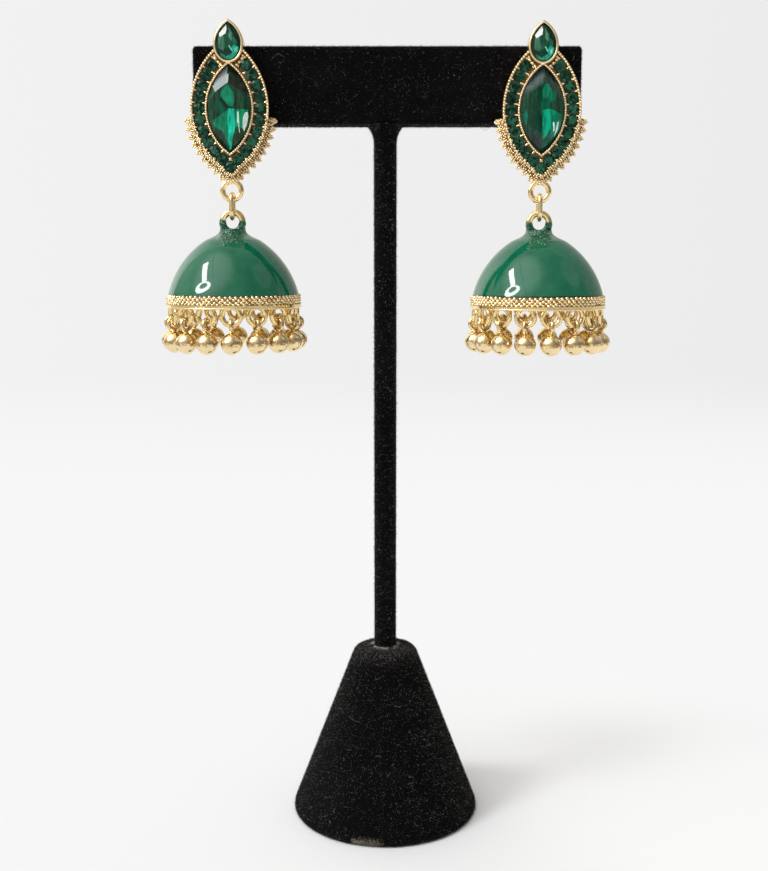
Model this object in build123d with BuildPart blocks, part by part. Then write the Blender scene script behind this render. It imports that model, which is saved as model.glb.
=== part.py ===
from build123d import *
import os
from math import cos, radians, sin, sqrt

# A pair of jhumka earrings pinned to a velvet T-bar stand. Millimetres, +Z up, -Y to the front.
# The origin is the centre of the stand's underside. "front" below is a distance forward of the
# rod's axis, along -Y, and every stud, link and bell is placed from its own earring's centre line.

os.makedirs("parts", exist_ok=True)

# ---------------------------------------------------------------- driving dimensions
# Stand: a cone base, a round rod with a flared top, and a rectangular bar
BASE_FOOT_R, BASE_TOP_R, BASE_H = 20.9, 6.5, 37.7
BASE_TOP_ROUND, BASE_FOOT_ROUND = 2.0, 0.9
ROD_R, FLARE_R, FLARE_H = 2.375, 3.9, 3.6
ROD_SEAT, SEAT_GAP = 10.0, 0.05
BAR_W, BAR_T, BAR_H, BAR_ROUND = 80.0, 6.5, 15.6, 0.8
BAR_X, BAR_Z = 0.4, 150.9

# The two earrings: centre line, how much lower it is pinned, and the turn of its bell
EARRINGS = [  # side, x, drop, bell turn in degrees
    ("left", -31.8, 0.0, 4.5),
    ("right", 32.0, 0.25, 5.0),
]

# Stud: front distances of its levels
BACK, POCKET_FLOOR, PLATE_FRONT, RIM_FRONT, BEZEL_FRONT = 3.4, 3.9, 4.9, 6.25, 6.6
WING_BACK, WING_FRONT = 3.7, 4.85
HANG = 4.6  # front distance of the plane in which ring, link and bell hang

# Stud: line through the accent stones, from the foot up the +X side
HALO_FOOT, HALO_BEND, HALO_SIDE, HALO_TOP = (0, 141.9), (3.11, 145.0), (6.31, 153.6), (1.19, 164.6)
HALO_TO_RIM, RIM_WALL = 1.74, 0.5
ACCENT_R, ACCENT_PITCH, ACCENTS_A_SIDE = 1.08, 2.3, 10

# Stud: line through the tips of the beaded points (picots) below and beside the halo
WING_FOOT, WING_BEND, WING_SIDE = (2.3, 139.6), (5.55, 142.75), (9.6, 153.6)
WING_PLATE, WING_TOP_Z, STUD_ROOM = 2.45, 151.9, 60  # the wing is trimmed above its top, over this width
PICOTS_A_SIDE, PICOT_PITCH, PICOT_R, PICOT_TIP_R, PICOT_SINK = 9, 1.75, 0.66, 0.34, 0.6

# Stones: marquise and pear
MARQUISE_HALF_W, MARQUISE_HALF_L, MARQUISE_Z = 4.45, 8.75, 153.55
PEAR_HALF_W, PEAR_TIP, PEAR_FOOT, PEAR_Z = 2.5, 4.4, 3.1, 166.2
GIRDLE, GIRDLE_T, STONE_GAP = 6.2, 0.3, 0.07
BEZEL_WALL = 0.55

# Ear post and the plain clutch behind the bar
POST_R, POST_Z, POST_BACK = 0.4, 158.7, 6.4
HOLE_R, CLUTCH_BORE_R = 0.5, 0.43
CLUTCH_DISC_R, CLUTCH_DISC_T, CLUTCH_BARREL_R, CLUTCH_BARREL_T = 2.9, 0.6, 1.4, 1.9

# Hanging chain of the bell: ring on the stud, link, loop on the bell
RING_R, RING_WIRE, RING_Z = 1.9, 0.58, 137.3
LINK_R, LINK_WIRE = 1.35, 0.5
LOOP_R, LOOP_WIRE = 2.06, 0.69
CHAIN_GAP = 0.10

# Bell: distances below are measured down from the centre of its loop
DOME_ARC_R, DOME_ARC_X, DOME_ARC_DOWN = 18.63, -4.49, 19.3
NECK_R, NECK_DOWN, NECK_FLARE_X = 2.7, 1.45, 5.9
BAND_TOP, BAND_FOOT, BAND_R, BAND_LIP_R, BAND_INNER_R = 15.05, 17.6, 13.8, 14.1, 11.95
BAND_LIP_TOP, BAND_EDGE, LIP_EDGE, COLLAR = 16.65, 0.15, 0.2, 0.6
WALL, ENAMEL_T, ENAMEL_GAP, CROWN_R = 0.7, 0.25, 0.05, 4.0

# Bells' fringe: rings under the rim, and a ball (ghungroo) on a small ring in each
FRINGE_COUNT, FRINGE_R = 16, 13.1
EYE_R, EYE_WIRE, EYE_DOWN = 1.79, 0.55, 18.9
BALL_RING_R, BALL_RING_WIRE = 1.15, 0.42
BALL_R, BALL_DOWN, STEM_R, STEM_FLARE_R, STEM_STRAIGHT = 2.2, 24.5, 0.45, 1.3, 0.25

# ---------------------------------------------------------------- worked out from them
LINK_TOP = RING_Z - RING_R + RING_WIRE + LINK_WIRE + CHAIN_GAP  # wire centres of the link
LINK_FOOT = 131.62
LOOP_Z = LINK_FOOT + LINK_WIRE + LOOP_WIRE + CHAIN_GAP - LOOP_R
BALL_RING_DOWN = EYE_DOWN + EYE_R - EYE_WIRE - CHAIN_GAP + BALL_RING_R - BALL_RING_WIRE
MARQUISE_ARC_R = (MARQUISE_HALF_L**2 + MARQUISE_HALF_W**2) / (2 * MARQUISE_HALF_W)


def finish(piece, node):
    """Label a finished piece and write it to its own STEP file."""
    piece.part.label = node
    export_step(piece.part, f"parts/{node}.step")


def face_plane(x, drop, front):
    """Sketch plane facing the front: its x is the row's X, its y is the height Z."""
    return Plane(origin=(x, -front, -drop), x_dir=(1, 0, 0), z_dir=(0, -1, 0))


# ---------------------------------------------------------------- stand
with BuildPart() as stand_base:
    with BuildSketch(Plane.XZ):
        Polygon((0, 0), (BASE_FOOT_R, 0), (BASE_TOP_R, BASE_H), (0, BASE_H), align=None)
    revolve(axis=Axis.Z)
    fillet(stand_base.edges().group_by(Axis.Z)[-1], BASE_TOP_ROUND)
    fillet(stand_base.edges().group_by(Axis.Z)[0], BASE_FOOT_ROUND)
    with Locations((0, 0, BASE_H)):
        Hole(ROD_R + SEAT_GAP, ROD_SEAT)
finish(stand_base, "stand_base")

with BuildPart() as stand_rod:
    with BuildSketch(Plane.XZ):
        with BuildLine():
            Polyline((FLARE_R, BAR_Z - SEAT_GAP), (0, BAR_Z - SEAT_GAP), (0, BASE_H - ROD_SEAT + SEAT_GAP))
            Polyline(
                (0, BASE_H - ROD_SEAT + SEAT_GAP),
                (ROD_R, BASE_H - ROD_SEAT + SEAT_GAP),
                (ROD_R, BAR_Z - FLARE_H),
            )
            TangentArc((ROD_R, BAR_Z - FLARE_H), (FLARE_R, BAR_Z - SEAT_GAP), tangent=(0, 1))
        make_face()
    revolve(axis=Axis.Z)
    with BuildSketch(Plane.XY.offset(BAR_Z - FLARE_H)):
        Circle(ROD_R)
    extrude(amount=FLARE_H + ROD_SEAT - SEAT_GAP)
finish(stand_rod, "stand_rod")

with BuildPart() as stand_bar:
    with Locations((BAR_X, 0, BAR_Z + BAR_H / 2)):
        Box(BAR_W, BAR_T, BAR_H)
    fillet(stand_bar.edges(), BAR_ROUND)
    with BuildSketch(Plane.XY.offset(BAR_Z)):
        Circle(ROD_R + SEAT_GAP)
    extrude(amount=ROD_SEAT, mode=Mode.SUBTRACT)
    for _, x, drop, _ in EARRINGS:
        with BuildSketch(face_plane(x, drop, BAR_T / 2)):
            with Locations((0, POST_Z)):
                Circle(HOLE_R)
        extrude(amount=-BAR_T, mode=Mode.SUBTRACT)
finish(stand_bar, "stand_bar")


# ---------------------------------------------------------------- outlines of the stud
def halo_outline(grow):
    """The leaf-shaped line through the accent stones, grown by an even margin."""
    with BuildSketch() as leaf:
        with BuildLine():
            Line(HALO_FOOT, HALO_BEND)
            TangentArc(HALO_SIDE, HALO_BEND, tangent=(0, -1))
            TangentArc(HALO_SIDE, HALO_TOP, tangent=(0, 1))
            Line(HALO_TOP, (0, HALO_TOP[1]))
            mirror(about=Plane.YZ)
        make_face()
        offset(amount=grow)
    return leaf.sketch


def marquise_outline(grow):
    """A pointed oval of two arcs, grown by an even margin."""
    half_l = sqrt((MARQUISE_ARC_R + grow) ** 2 - (MARQUISE_ARC_R - MARQUISE_HALF_W) ** 2)
    tip, foot = (0, MARQUISE_Z + half_l), (0, MARQUISE_Z - half_l)
    with BuildSketch() as oval:
        with BuildLine():
            ThreePointArc(tip, (MARQUISE_HALF_W + grow, MARQUISE_Z), foot)
            ThreePointArc(foot, (-MARQUISE_HALF_W - grow, MARQUISE_Z), tip)
        make_face()
    return oval.sketch


def pear_outline(grow):
    """A drop: half an ellipse below its widest line and two arcs that meet in a tip above it."""
    half_w, tip, foot = PEAR_HALF_W + grow, PEAR_TIP + grow, PEAR_FOOT + grow
    with BuildSketch() as pear:
        with BuildLine():
            EllipticalCenterArc((0, PEAR_Z), half_w, foot, start_angle=180, arc_size=180)
            TangentArc((half_w, PEAR_Z), (0, PEAR_Z + tip), tangent=(0, 1))
            TangentArc((-half_w, PEAR_Z), (0, PEAR_Z + tip), tangent=(0, 1))
        make_face()
    return pear.sketch


def half_line(foot, bend, side, top=None):
    """One side of a leaf line: a straight foot, then an arc that stands upright at its side."""
    with BuildLine() as line:
        Line(foot, bend)
        TangentArc(side, bend, tangent=(0, -1))
        if top:
            TangentArc(side, top, tangent=(0, 1))
    return line.wires()[0]


def along(line, foot, distance):
    """Point and outward direction on a half line, at a distance from its foot."""
    measured = distance if (line @ 0 - Vector(*foot)).length < 1e-6 else line.length - distance
    point = line.position_at(measured, position_mode=PositionMode.LENGTH)
    tangent = line.tangent_at(measured, position_mode=PositionMode.LENGTH)
    outward = Vector(tangent.Y, -tangent.X)
    return point, outward if outward.X > 0 else outward * -1


halo_half = half_line(HALO_FOOT, HALO_BEND, HALO_SIDE, HALO_TOP)
accent_points = []
for number in range(ACCENTS_A_SIDE + 1):
    point, _ = along(halo_half, HALO_FOOT, number * ACCENT_PITCH)
    accent_points += [(point.X, point.Y), (-point.X, point.Y)] if number else [(0, point.Y)]

wing_half = half_line(WING_FOOT, WING_BEND, WING_SIDE)
picot_rows = []  # tip bead and body lobe of each beaded point
for number in range(PICOTS_A_SIDE):
    tip, outward = along(wing_half, WING_FOOT, number * PICOT_PITCH)
    bead = tip - outward * PICOT_TIP_R
    lobe = tip - outward * (2 * PICOT_TIP_R + PICOT_SINK * PICOT_R)
    picot_rows += [(bead.X, bead.Y, PICOT_TIP_R), (-bead.X, bead.Y, PICOT_TIP_R)]
    picot_rows += [(lobe.X, lobe.Y, PICOT_R), (-lobe.X, lobe.Y, PICOT_R)]


# ---------------------------------------------------------------- cut stones
def facet(centre, azimuth, inner, outer):
    """Cut one flat facet. inner and outer are (reach, height) where the plane passes, with the
    reach measured from the stone's centre in the azimuth's direction and the height to the front."""
    out, front = Vector(cos(radians(azimuth)), 0, sin(radians(azimuth))), Vector(0, -1, 0)
    (r1, h1), (r2, h2) = inner, outer
    side = 1 if h1 > h2 else -1
    normal = (out * (h1 - h2) + front * (r2 - r1)) * side
    split(bisect_by=Plane(origin=centre + out * r1 + front * h1, z_dir=normal), keep=Keep.BOTTOM)


def marquise_reach(azimuth):
    """How far the pointed oval reaches in a direction."""
    a = radians(azimuth)
    c, s = abs(cos(a)), abs(sin(a))
    on_arc = s <= MARQUISE_HALF_L / MARQUISE_ARC_R
    return MARQUISE_ARC_R - (MARQUISE_ARC_R - MARQUISE_HALF_W) * c if on_arc else MARQUISE_HALF_L * s


def pear_reach(azimuth):
    """How far the drop reaches in a direction."""
    a = radians(azimuth)
    c, s = abs(cos(a)), sin(a)
    if s < 0:
        return sqrt((PEAR_HALF_W * c) ** 2 + (PEAR_FOOT * s) ** 2)
    arc_r = (PEAR_TIP**2 + PEAR_HALF_W**2) / (2 * PEAR_HALF_W)
    return arc_r - (arc_r - PEAR_HALF_W) * c if s <= PEAR_TIP / arc_r else PEAR_TIP * s


def cut_stone(centre, reach, crown, pavilion, table_h, depth):
    """Cut crown facets (azimuth, reach of the table's edge) and pavilion facets (azimuths)."""
    for azimuth, table_reach in crown:
        facet(centre, azimuth, (table_reach, table_h), (reach(azimuth), GIRDLE_T))
    for azimuth in pavilion:
        facet(centre, azimuth, (0, -depth), (reach(azimuth), 0))


# Crown facets are (azimuth, reach of the table's edge), pavilion facets are azimuths alone
MARQUISE_TABLE, MARQUISE_DEPTH = 1.5, 2.15
MARQUISE_SIDES = [(0, 3.0), (20, 3.63), (-20, 3.63), (55, 4.17), (-55, 4.17)]
MARQUISE_CROWN = [(turn + azimuth, reach) for turn in (0, 180) for azimuth, reach in MARQUISE_SIDES]
MARQUISE_PAVILION = [turn + azimuth for turn in (0, 180) for azimuth in (-62, -32, 0, 32, 62)]
PEAR_TABLE, PEAR_DEPTH, TIP_AZIMUTH = 1.05, 1.75, 90
PEAR_SIDES = [(38, 1.6), (80, 1.45), (120, 1.55), (158, 1.7)]
PEAR_CROWN = [(TIP_AZIMUTH + sign * turn, reach) for turn, reach in PEAR_SIDES for sign in (1, -1)]
PEAR_PAVILION = [TIP_AZIMUTH + sign * turn for turn in (30, 70, 110, 150) for sign in (1, -1)]
ACCENT_TABLE, ACCENT_DEPTH, ACCENT_GIRDLE, ACCENT_TABLE_RATIO = 0.5, 0.9, 5.85, 0.55


def accent_stone():
    """One small round stone with eight crown and eight pavilion facets, at the origin."""
    with BuildPart() as stone:
        with BuildSketch(Plane.XZ.offset(-ACCENT_DEPTH)):
            RegularPolygon(ACCENT_R, 16)
        extrude(amount=ACCENT_DEPTH + ACCENT_TABLE)
        crown = [(45 * n, ACCENT_TABLE_RATIO * ACCENT_R) for n in range(8)]
        pavilion = [45 * n + 22.5 for n in range(8)]
        cut_stone(Vector(0, 0, 0), lambda azimuth: ACCENT_R, crown, pavilion, ACCENT_TABLE, ACCENT_DEPTH)
    return stone.part


accent = accent_stone()

# ---------------------------------------------------------------- studs and their stones
for side, x, drop, _ in EARRINGS:
    # Backplate, rim, bezels, beaded wing, ring and post, soldered together
    with BuildPart() as stud_frame:
        with BuildSketch(face_plane(x, drop, BACK)):
            add(halo_outline(HALO_TO_RIM))
        extrude(amount=PLATE_FRONT - BACK)
        with BuildSketch(face_plane(x, drop, BACK)):
            add(halo_outline(HALO_TO_RIM))
            add(halo_outline(HALO_TO_RIM - RIM_WALL), mode=Mode.SUBTRACT)
        extrude(amount=RIM_FRONT - BACK)
        with BuildSketch(face_plane(x, drop, WING_BACK)):
            add(halo_outline(WING_PLATE))
            with Locations((0, WING_TOP_Z)):
                Rectangle(STUD_ROOM, STUD_ROOM, align=(Align.CENTER, Align.MIN), mode=Mode.SUBTRACT)
            for bead_x, bead_z, bead_r in picot_rows:
                with Locations((bead_x, bead_z)):
                    Circle(bead_r)
        extrude(amount=WING_FRONT - WING_BACK)
        with BuildSketch(face_plane(x, drop, BACK)):
            add(marquise_outline(BEZEL_WALL))
            add(pear_outline(BEZEL_WALL))
        extrude(amount=BEZEL_FRONT - BACK)
        with BuildSketch(face_plane(x, drop, POCKET_FLOOR)):
            add(marquise_outline(STONE_GAP))
            add(pear_outline(STONE_GAP))
        extrude(amount=BEZEL_FRONT - POCKET_FLOOR, mode=Mode.SUBTRACT)
        with Locations((x, -HANG, RING_Z - drop)):
            Torus(RING_R, RING_WIRE, rotation=(90, 0, 0))
        with BuildSketch(face_plane(x, drop, POCKET_FLOOR - STONE_GAP)):
            with Locations((0, POST_Z)):
                Circle(POST_R)
        extrude(amount=-(POST_BACK + POCKET_FLOOR - STONE_GAP))
    finish(stud_frame, f"stud_frame_{side}")

    with BuildPart() as marquise_stone:
        with BuildSketch(face_plane(x, drop, GIRDLE - MARQUISE_DEPTH)):
            add(marquise_outline(0))
        extrude(amount=MARQUISE_DEPTH + MARQUISE_TABLE)
        cut_stone(
            Vector(x, -GIRDLE, MARQUISE_Z - drop),
            marquise_reach, MARQUISE_CROWN, MARQUISE_PAVILION, MARQUISE_TABLE, MARQUISE_DEPTH,
        )
    finish(marquise_stone, f"marquise_stone_{side}")

    with BuildPart() as pear_stone:
        with BuildSketch(face_plane(x, drop, GIRDLE - PEAR_DEPTH)):
            add(pear_outline(0))
        extrude(amount=PEAR_DEPTH + PEAR_TABLE)
        cut_stone(
            Vector(x, -GIRDLE, PEAR_Z - drop),
            pear_reach, PEAR_CROWN, PEAR_PAVILION, PEAR_TABLE, PEAR_DEPTH,
        )
    finish(pear_stone, f"pear_stone_{side}")

    # The halo of small round stones
    with BuildPart() as accent_stones:
        with Locations([(x + dx, -ACCENT_GIRDLE, z - drop) for dx, z in accent_points]):
            add(accent)
    finish(accent_stones, f"accent_stones_{side}")

    # Plain push-on clutch on the post, behind the bar
    with BuildPart() as ear_clutch:
        behind = face_plane(x, drop, -BAR_T / 2 - CHAIN_GAP)
        with BuildSketch(behind):
            with Locations((0, POST_Z)):
                Circle(CLUTCH_DISC_R)
        extrude(amount=-CLUTCH_DISC_T)
        with BuildSketch(behind):
            with Locations((0, POST_Z)):
                Circle(CLUTCH_BARREL_R)
        extrude(amount=-CLUTCH_DISC_T - CLUTCH_BARREL_T)
        with BuildSketch(behind):
            with Locations((0, POST_Z)):
                Circle(CLUTCH_BORE_R)
        extrude(amount=-CLUTCH_DISC_T - CLUTCH_BARREL_T, mode=Mode.SUBTRACT)
    finish(ear_clutch, f"ear_clutch_{side}")


# ---------------------------------------------------------------- links, bells and their fringe
def dome_x(down, inset):
    """Radius of the dome's arc at a distance below the loop's centre, with the surface set in."""
    arc_r = DOME_ARC_R - inset
    return DOME_ARC_X + sqrt(arc_r**2 - (DOME_ARC_DOWN - down) ** 2)


def dome_down(x, inset):
    """Distance of the dome's arc below the loop's centre at a radius, with the surface set in."""
    return DOME_ARC_DOWN - sqrt((DOME_ARC_R - inset) ** 2 - (x - DOME_ARC_X) ** 2)


def dome_side(foot_down, inset):
    """Outer line of the bell from a foot level up the dome and the flared neck to its top."""
    foot = (dome_x(foot_down, inset), -foot_down)
    middle_down = (foot_down + dome_down(NECK_FLARE_X, inset)) / 2
    flare = (NECK_FLARE_X, -dome_down(NECK_FLARE_X, inset))
    ThreePointArc(foot, (dome_x(middle_down, inset), -middle_down), flare)
    neck = (NECK_R - inset, -NECK_DOWN)
    Spline(flare, neck, tangents=[(-(flare[1] + DOME_ARC_DOWN), flare[0] - DOME_ARC_X), (0, 1)])
    return foot, neck


def bell_plane(x, drop):
    """Upright plane through the bell's axis, with its origin at the centre of the loop."""
    return Plane(origin=(x, -HANG, LOOP_Z - drop), x_dir=(1, 0, 0), z_dir=(0, -1, 0))


for side, x, drop, turn in EARRINGS:
    # Oval link between the stud's ring and the bell's loop, standing fore and aft
    with BuildPart() as drop_link:
        with BuildLine(Plane(origin=(x, -HANG, -drop), x_dir=(0, 1, 0), z_dir=(1, 0, 0))) as oval:
            high, low = LINK_TOP - LINK_R, LINK_FOOT + LINK_R
            CenterArc((0, high), LINK_R, 0, 180)
            Line((-LINK_R, high), (-LINK_R, low))
            CenterArc((0, low), LINK_R, 180, 180)
            Line((LINK_R, low), (LINK_R, high))
        with BuildSketch(Plane(origin=oval.line @ 0, z_dir=oval.line % 0)):
            Circle(LINK_WIRE)
        sweep(path=oval.wires()[0])
    finish(drop_link, f"drop_link_{side}")

    axis = Axis((x, -HANG, 0), (0, 0, 1))
    first_ball = turn - 90

    # Hollow dome with its band, top loop and the eyes under its rim, in one casting
    with BuildPart() as bell_shell:
        coat = ENAMEL_T + ENAMEL_GAP
        with BuildSketch(bell_plane(x, drop)):
            with BuildLine():
                foot, neck = dome_side(BAND_TOP, coat)
                inset = coat + WALL
                Polyline(
                    foot,
                    (BAND_R - BAND_EDGE, -BAND_TOP),
                    (BAND_R, -BAND_TOP - BAND_EDGE),
                    (BAND_R, -BAND_LIP_TOP),
                    (BAND_LIP_R, -BAND_LIP_TOP - LIP_EDGE),
                    (BAND_LIP_R, -BAND_FOOT + LIP_EDGE),
                    (BAND_LIP_R - LIP_EDGE, -BAND_FOOT),
                    (BAND_INNER_R, -BAND_FOOT),
                    (BAND_INNER_R, -BAND_TOP - COLLAR),
                    (dome_x(BAND_TOP, inset), -BAND_TOP),
                )
                middle = (BAND_TOP + dome_down(CROWN_R, inset)) / 2
                crown = (CROWN_R, -dome_down(CROWN_R, inset))
                ThreePointArc((dome_x(BAND_TOP, inset), -BAND_TOP), (dome_x(middle, inset), -middle), crown)
                Polyline(crown, (0, crown[1]), (0, neck[1]), neck)
            make_face()
        revolve(axis=axis)
        with Locations((x, -HANG, LOOP_Z - drop)):
            Torus(LOOP_R, LOOP_WIRE, rotation=(90, 0, 0))
        with Locations((x, -HANG, LOOP_Z - EYE_DOWN - drop)):
            with PolarLocations(FRINGE_R, FRINGE_COUNT, start_angle=first_ball):
                Torus(EYE_R, EYE_WIRE, rotation=(0, 90, 0))
    finish(bell_shell, f"bell_shell_{side}")

    # Coat of enamel over the dome and neck
    with BuildPart() as bell_enamel:
        with BuildSketch(bell_plane(x, drop)):
            with BuildLine():
                outer_foot, outer_neck = dome_side(BAND_TOP - ENAMEL_GAP, 0)
            with BuildLine():
                inner_foot, inner_neck = dome_side(BAND_TOP - ENAMEL_GAP, ENAMEL_T)
            with BuildLine():
                Line(outer_foot, inner_foot)
                Line(outer_neck, inner_neck)
            make_face()
        revolve(axis=axis)
    finish(bell_enamel, f"bell_enamel_{side}")

    # One ball: a small ring through the rim's eye, a flared stem and the ball
    with BuildPart() as ball:
        ball_top = sqrt(BALL_R**2 - STEM_FLARE_R**2) - BALL_DOWN
        ring_foot = -BALL_RING_DOWN - BALL_RING_R
        stem_foot = (STEM_R, ring_foot - STEM_STRAIGHT)
        with BuildSketch(Plane.XZ):
            with BuildLine():
                Line((0, -BALL_DOWN), (0, ring_foot))
                Polyline((0, ring_foot), (STEM_R, ring_foot), stem_foot)
                TangentArc(stem_foot, (STEM_FLARE_R, ball_top), tangent=(0, -1))
                Line((STEM_FLARE_R, ball_top), (0, -BALL_DOWN))
            make_face()
        revolve(axis=Axis.Z)
        with Locations((0, 0, -BALL_DOWN)):
            Sphere(BALL_R)
        with Locations((0, 0, -BALL_RING_DOWN)):
            Torus(BALL_RING_R, BALL_RING_WIRE, rotation=(90, 0, 0))

    for number, place in enumerate(PolarLocations(FRINGE_R, FRINGE_COUNT, first_ball).local_locations):
        with BuildPart() as ghungroo:
            with Locations(Location((x, -HANG, LOOP_Z - drop)) * place):
                add(ball.part)
        finish(ghungroo, f"ghungroo_{side}_{number + 1:02d}")
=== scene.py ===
import math
import random

import bmesh
import bpy
import numpy as np
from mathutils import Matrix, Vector


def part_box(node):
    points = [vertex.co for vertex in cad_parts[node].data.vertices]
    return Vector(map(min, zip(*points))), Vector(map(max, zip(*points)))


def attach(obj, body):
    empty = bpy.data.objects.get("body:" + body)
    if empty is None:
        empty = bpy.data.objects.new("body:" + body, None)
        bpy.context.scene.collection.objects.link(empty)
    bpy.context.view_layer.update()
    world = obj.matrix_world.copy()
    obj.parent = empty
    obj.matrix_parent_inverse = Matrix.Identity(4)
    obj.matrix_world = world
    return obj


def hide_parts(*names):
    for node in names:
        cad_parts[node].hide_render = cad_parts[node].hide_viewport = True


# A pair of enamelled jhumka earrings, pinned to a black velvet T-bar stand.
# Every length is worked in millimetres and turned into metres when its mesh is made.
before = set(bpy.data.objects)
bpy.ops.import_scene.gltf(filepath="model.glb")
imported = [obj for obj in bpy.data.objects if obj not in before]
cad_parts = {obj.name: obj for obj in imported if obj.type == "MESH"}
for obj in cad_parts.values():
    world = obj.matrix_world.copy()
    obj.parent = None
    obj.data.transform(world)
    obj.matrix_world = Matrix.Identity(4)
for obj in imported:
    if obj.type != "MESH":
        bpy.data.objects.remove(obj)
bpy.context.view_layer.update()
MM = 0.001


# -------- the stand's velvet
# Wooden cone, rod and bar, wrapped in black rayon velvet that is glued down at the back.
# The pile is short and stands off the backing, so every edge is soft and holds dust and lint.
class Sock:
    """A shader socket that adds Math nodes when it is used in arithmetic."""

    def __init__(self, recipe, out):
        self.recipe, self.out = recipe, out

    def math(self, operation, *values):
        return self.recipe.node("ShaderNodeMath", {"operation": operation}, dict(enumerate(values)))

    def __add__(self, other):
        return self.math("ADD", self, other)

    __radd__ = __add__

    def __mul__(self, other):
        return self.math("MULTIPLY", self, other)

    __rmul__ = __mul__

    def __sub__(self, other):
        return self.math("SUBTRACT", self, other)

    def __rsub__(self, other):
        return self.math("SUBTRACT", other, self)

    def __truediv__(self, other):
        return self.math("DIVIDE", self, other)

    def __pow__(self, other):
        return self.math("POWER", self, other)

    def above(self, low, high):
        """0 at low, 1 at high, smooth between them."""
        return self.recipe.node(
            "ShaderNodeMapRange",
            {"interpolation_type": "SMOOTHSTEP"},
            {"Value": self, "From Min": low, "From Max": high},
        )


class Recipe:
    """One material, or the world, and its nodes."""

    def __init__(self, name, kind="materials"):
        self.material = getattr(bpy.data, kind).new(name)
        self.material.use_nodes = True
        self.tree = self.material.node_tree
        self.tree.nodes.clear()

    def node(self, kind, settings=None, sockets=None, out=0):
        made = self.tree.nodes.new(kind)
        for name, value in (settings or {}).items():
            setattr(made, name, value)
        for name, value in (sockets or {}).items():
            if isinstance(value, Sock):
                self.tree.links.new(value.out, made.inputs[name])
            else:
                made.inputs[name].default_value = value
        return Sock(self, made.outputs[out]) if made.outputs else None

    def place(self):
        """Position on the object, in metres."""
        return self.node("ShaderNodeTexCoord", out="Object")

    def xyz(self):
        """The three coordinates of the position, in millimetres."""
        split = [self.node("ShaderNodeSeparateXYZ", None, {0: self.place()}, out) for out in range(3)]
        return [value * 1000.0 for value in split]

    def facing(self, axis):
        """How far the surface faces along X, Y or Z, from -1 to 1."""
        normal = self.node("ShaderNodeNewGeometry", out="Normal")
        return self.node("ShaderNodeSeparateXYZ", None, {0: normal}, axis)

    def stored(self, name="gap", out="Fac"):
        """A value that the mesh stores at each vertex."""
        return self.node("ShaderNodeAttribute", {"attribute_name": name}, out=out)

    def noise(self, scale_per_mm, detail=2.0, roughness=0.5, where=None):
        """Fractal noise from 0 to 1, with that many cells to the millimetre."""
        sockets = {"Vector": where or self.place(), "Scale": scale_per_mm * 1000.0}
        return self.node("ShaderNodeTexNoise", None, {**sockets, "Detail": detail, "Roughness": roughness})

    def blend(self, factor, low, high):
        """Colour that goes from low to high as factor goes from 0 to 1."""
        low, high = (colour if isinstance(colour, Sock) else (*colour, 1) for colour in (low, high))
        return self.node("ShaderNodeMix", {"data_type": "RGBA"}, {0: factor, 6: low, 7: high}, out=2)

    def bump(self, height, distance_mm, strength=1.0):
        sockets = {"Height": height, "Distance": distance_mm * MM, "Strength": strength}
        return self.node("ShaderNodeBump", None, sockets)

    def shader(self, **sockets):
        """A Principled shader; an underscore in a name stands for a space."""
        named = {name.replace("_", " "): value for name, value in sockets.items()}
        return self.node("ShaderNodeBsdfPrincipled", None, named)

    def output(self, shader, kind="Material"):
        self.node("ShaderNodeOutput" + kind, None, {"Surface": shader})
        return self.material

    def surface(self, **sockets):
        return self.output(self.shader(**sockets))


def dress(node_name, material):
    """Gives a CAD piece its material."""
    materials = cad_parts[node_name].data.materials
    materials.clear()
    materials.append(material)


def placed(name, data):
    """A new object in the scene, at the origin."""
    made = bpy.data.objects.new(name, data)
    bpy.context.scene.collection.objects.link(made)
    return made


velvet = Recipe("black velvet")
grain = velvet.noise(5.0, 3.0, 0.7)
patches = velvet.noise(0.12, 3.0, 0.6)
velvet_x, velvet_y, velvet_z = velvet.xyz()
BASE_TOP_Z, WORN_X, WORN_Y = 38.0, -4.0, -17.0
dust_ring = (velvet_z - 37.0).above(-2.5, 0.5) * (BASE_TOP_Z + 0.4 - velvet_z).above(0.0, 0.6)
dust_ring = dust_ring * velvet.noise(3.0).above(0.45, 0.75)
# The spot at the front of the base's foot where the pile has worn off
worn = (2.7 - velvet_z).above(0.0, 1.9) * (velvet_x + 7.2).above(-0.6, 0.6) * (0.3 - velvet_x).above(0.0, 2.2)
worn = worn * (WORN_Y - velvet_y).above(0.0, 1.0)
black = velvet.blend(grain.above(0.5, 0.85), (0.002, 0.002, 0.0022), (0.022, 0.022, 0.023))
black = velvet.blend(patches.above(0.45, 0.8) * 0.5, black, (0.008, 0.008, 0.0085))
black = velvet.blend(dust_ring * 0.6, black, (0.16, 0.15, 0.14))
black = velvet.blend((0.5 - velvet_z).above(0.0, 0.3), black, (0.05, 0.048, 0.045))
rubbed = (worn + (velvet.noise(1.6, 4.0, 0.8) - 0.5) * 5.0 - 0.3).above(0.0, 0.8) * worn.above(0.02, 0.3)
rubbed = rubbed * velvet.noise(4.0).above(0.3, 0.6)
black = velvet.blend(rubbed, black, (0.19, 0.16, 0.125))
velvet_cloth = velvet.surface(
    Base_Color=black,
    Roughness=1.0,
    Specular_IOR_Level=0.05,
    Sheen_Weight=0.03,
    Sheen_Roughness=0.5,
    Normal=velvet.bump(grain, 0.15, 0.8),
)
for node in ("stand_base", "stand_rod", "stand_bar"):
    dress(node, velvet_cloth)


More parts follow.
